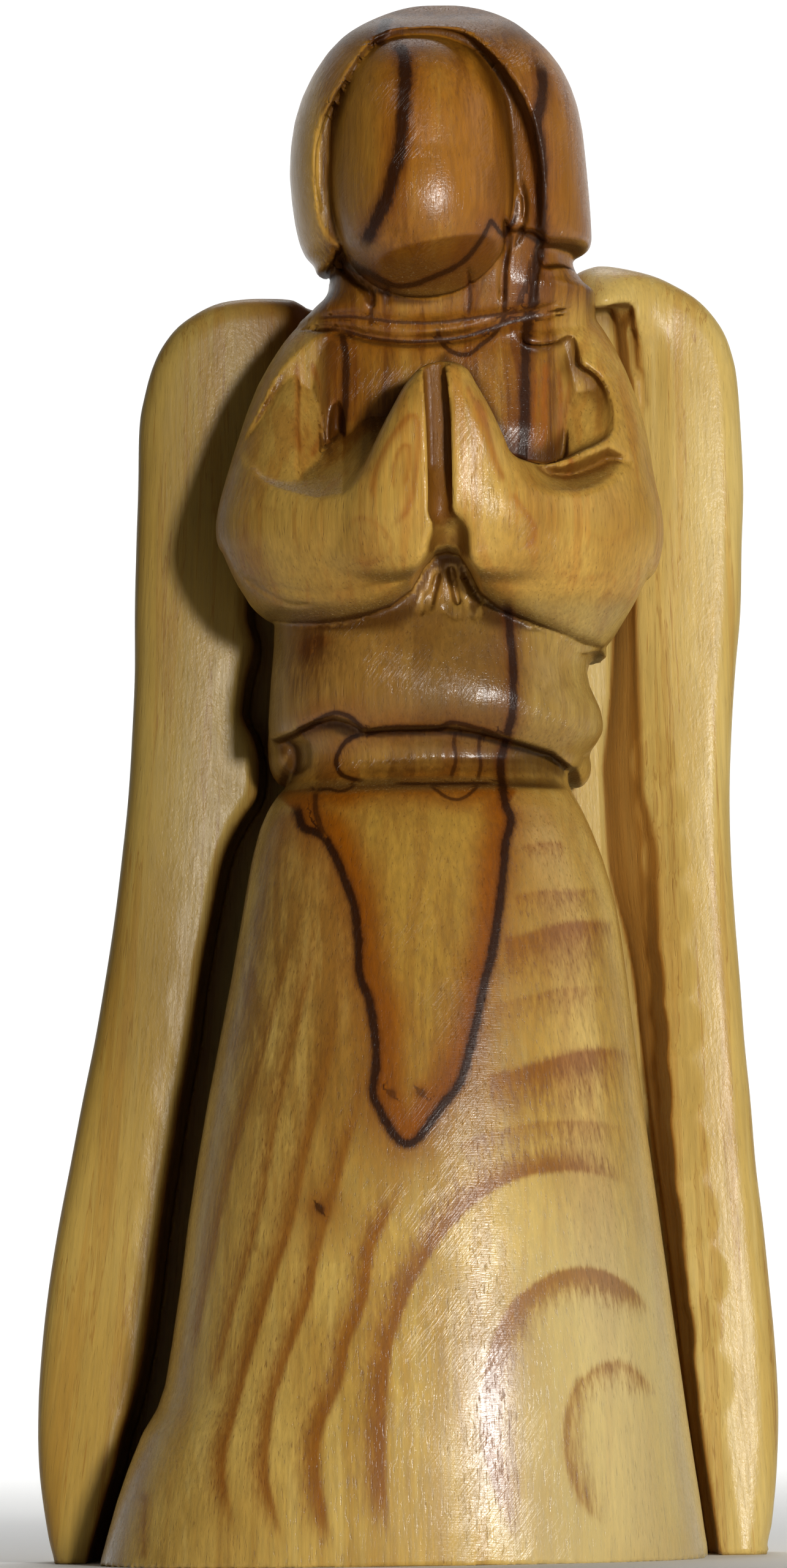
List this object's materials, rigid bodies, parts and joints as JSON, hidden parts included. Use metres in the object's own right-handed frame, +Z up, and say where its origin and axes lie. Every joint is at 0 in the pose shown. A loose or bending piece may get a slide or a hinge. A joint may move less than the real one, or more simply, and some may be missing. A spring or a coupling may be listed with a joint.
{
  "type": "madonna statue",
  "caption": "Carved wooden praying figure with veil, pressed hands and long flared skirt, standing before tall side panels on a flat base.",
  "frame": {"origin": "centre of the base outline, on the ground", "axes": "+Z up from the base to the crown of the veil; the figure faces -Y; +X is to the right of a viewer who looks at the front"},
  "size_m": [0.0569, 0.038, 0.1195],
  "materials": {
    "heartwood": "oiled and lacquered olive heartwood with dark veins, glossy",
    "sapwood": "oiled and lacquered pale olive sapwood, glossy",
    "dowel_wood": "plain hidden hardwood dowel"
  },
  "bodies": {
    "root": {"figure": "heartwood", "left_wing": "sapwood", "right_wing": "sapwood", "left_wing_dowels": "dowel_wood", "right_wing_dowels": "dowel_wood"}
  },
  "joints": []
}
